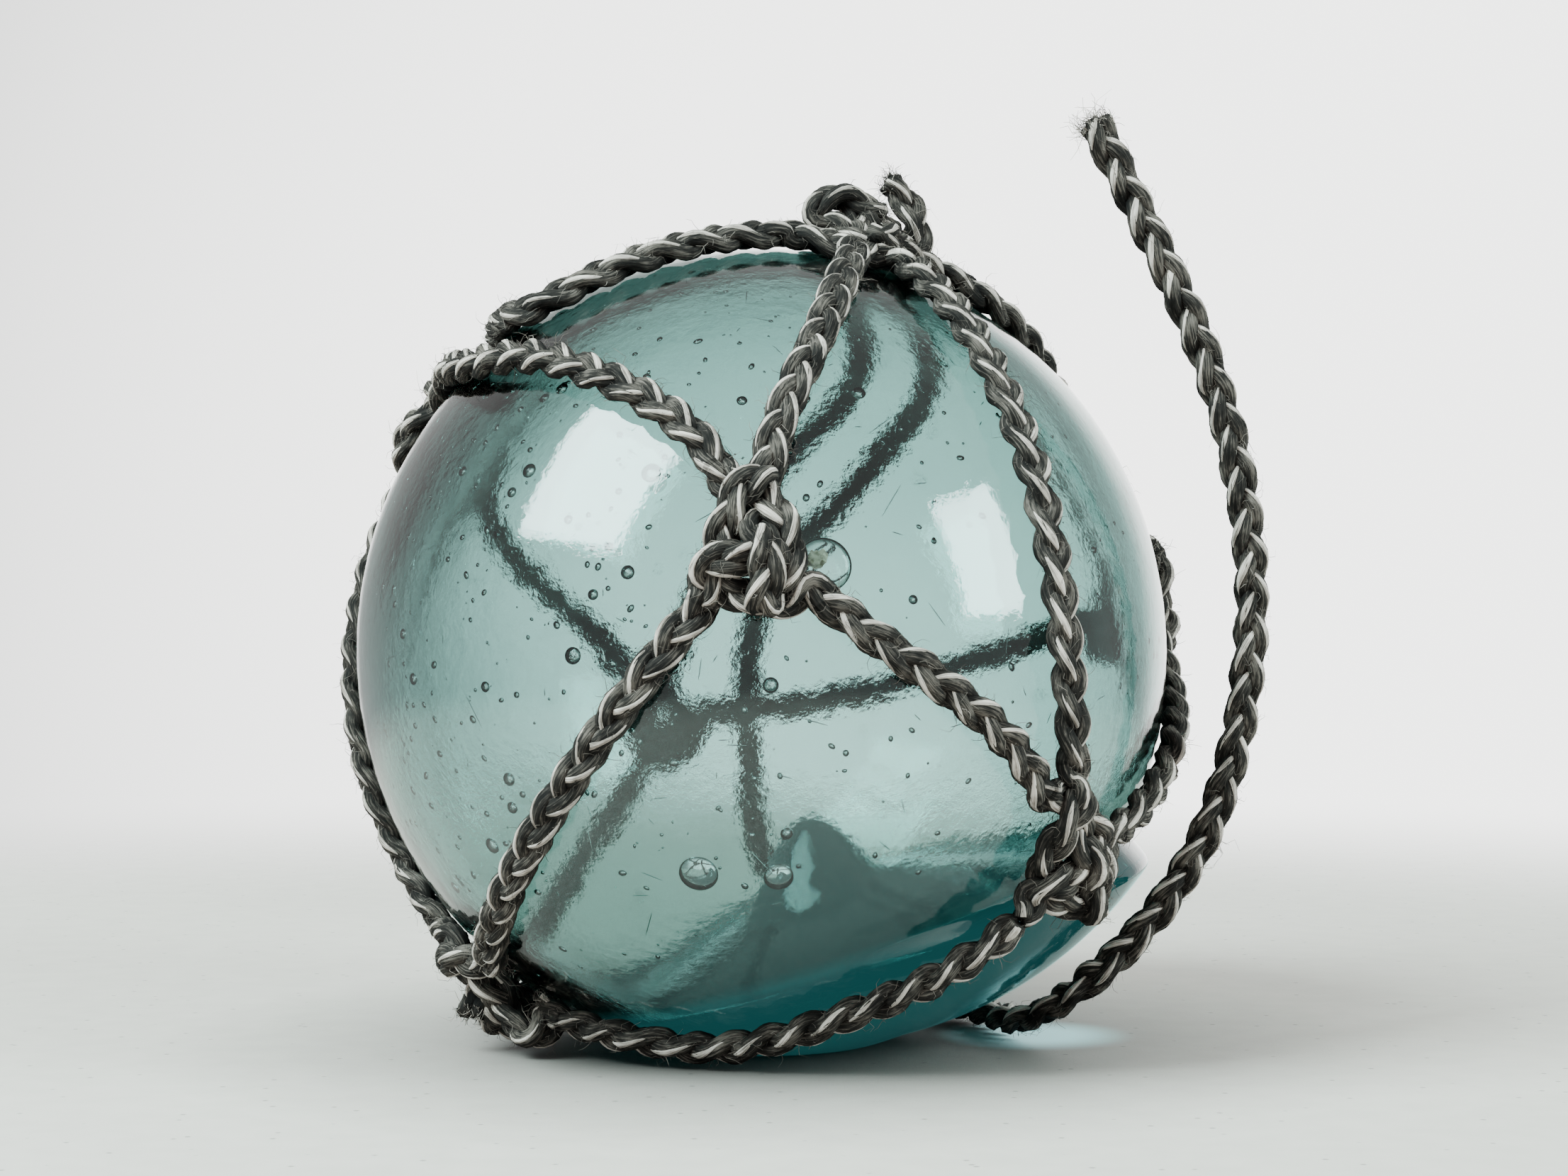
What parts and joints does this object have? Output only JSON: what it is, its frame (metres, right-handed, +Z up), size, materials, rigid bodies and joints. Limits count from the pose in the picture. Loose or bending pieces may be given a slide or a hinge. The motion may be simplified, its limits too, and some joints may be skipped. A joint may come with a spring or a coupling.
{
  "type": "glass fishing float in a knotted net",
  "caption": "Hand-blown pale aqua glass fishing float with a thick teal glass seal, held in a knotted net of dark plaited cord with one long free end.",
  "frame": {"origin": "middle of the float's flat foot, on the surface it stands on, straight below the middle of the ball", "axes": "+Z up, +Y away from the side that is usually looked at, +X towards the side where the cord's free end stands"},
  "size_m": [0.0859, 0.0866, 0.0843],
  "materials": {
    "float_glass": "clear pale aqua blown glass with seed bubbles and fine scratches",
    "seal_glass": "thick deep teal glass, see-through, with streaks and frosty cracks",
    "net_cord": "matt dark charcoal plaited cord, a pale yarn in each strand, slightly hairy"
  },
  "bodies": {
    "root": {"glass_float": "float_glass", "seal_button": "seal_glass", "cord_top_front": "net_cord", "cord_top_right": "net_cord", "cord_top_left": "net_cord", "cord_top_back_right": "net_cord", "cord_top_back": "net_cord", "cord_top_foot": "net_cord", "cord_front_left": "net_cord", "cord_front_lower_left": "net_cord", "cord_front_right": "net_cord", "cord_left_side": "net_cord", "cord_foot_front": "net_cord", "cord_right_back": "net_cord", "cord_back_upper": "net_cord", "cord_back_across": "net_cord", "cord_back_lower": "net_cord", "cord_foot_back": "net_cord", "knot_front": "net_cord", "knot_right": "net_cord", "knot_lower_left": "net_cord", "knot_left": "net_cord", "knot_top": "net_cord", "knot_back": "net_cord", "knot_back_right": "net_cord", "knot_back_foot": "net_cord", "cord_tail": "net_cord"}
  },
  "joints": []
}
